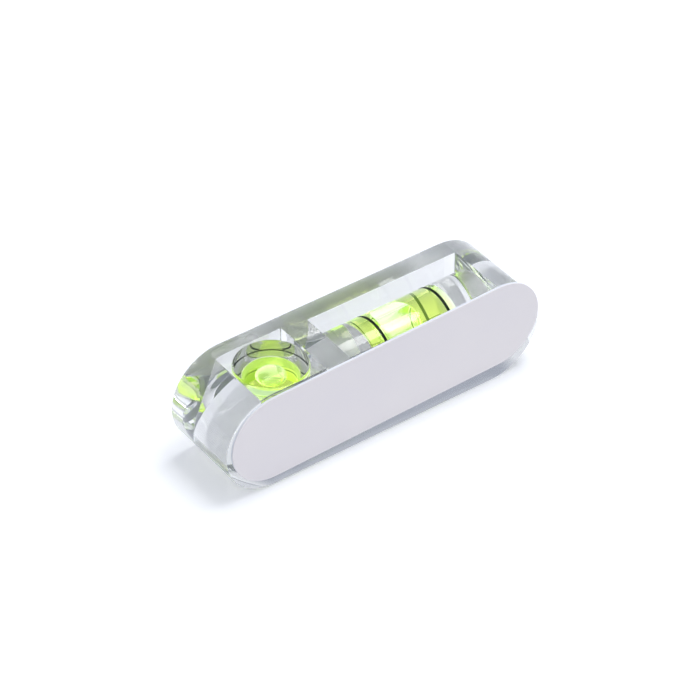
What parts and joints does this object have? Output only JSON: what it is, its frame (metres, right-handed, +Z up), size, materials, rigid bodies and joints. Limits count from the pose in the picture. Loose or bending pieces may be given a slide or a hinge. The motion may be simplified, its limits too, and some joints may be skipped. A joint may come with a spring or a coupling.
{
  "type": "T-shaped bubble level",
  "caption": "Small clear block level: a long vial along its length and a short upright vial beside it in open-topped pockets, with an adhesive mounting pad on the front face.",
  "frame": {"origin": "middle of the long flat edge that the block rests on: block mid-length, block mid-depth, z = 0", "axes": "+X runs along the block towards the end of the long vial, -Y is out of the face with the pad, +Z is up, out of the pockets"},
  "size_m": [0.0504, 0.0128, 0.0156],
  "materials": {
    "clear_acrylic": "clear, polished",
    "vial_acrylic": "clear, polished",
    "vial_liquid": "clear yellow-green liquid",
    "mark_paint": "black paint",
    "pad_foam": "white adhesive foam",
    "liner_paper": "light grey coated paper"
  },
  "bodies": {
    "root": {"body": "clear_acrylic", "level_vial_barrel": "vial_acrylic", "level_vial_plug": "vial_acrylic", "level_vial_liquid": "vial_liquid", "level_mark_left": "mark_paint", "level_mark_right": "mark_paint", "plumb_vial_barrel": "vial_acrylic", "plumb_vial_plug": "vial_acrylic", "plumb_vial_liquid": "vial_liquid", "plumb_mark_upper": "mark_paint", "plumb_mark_lower": "mark_paint", "mounting_pad": "pad_foam", "release_liner": "liner_paper"}
  },
  "joints": []
}
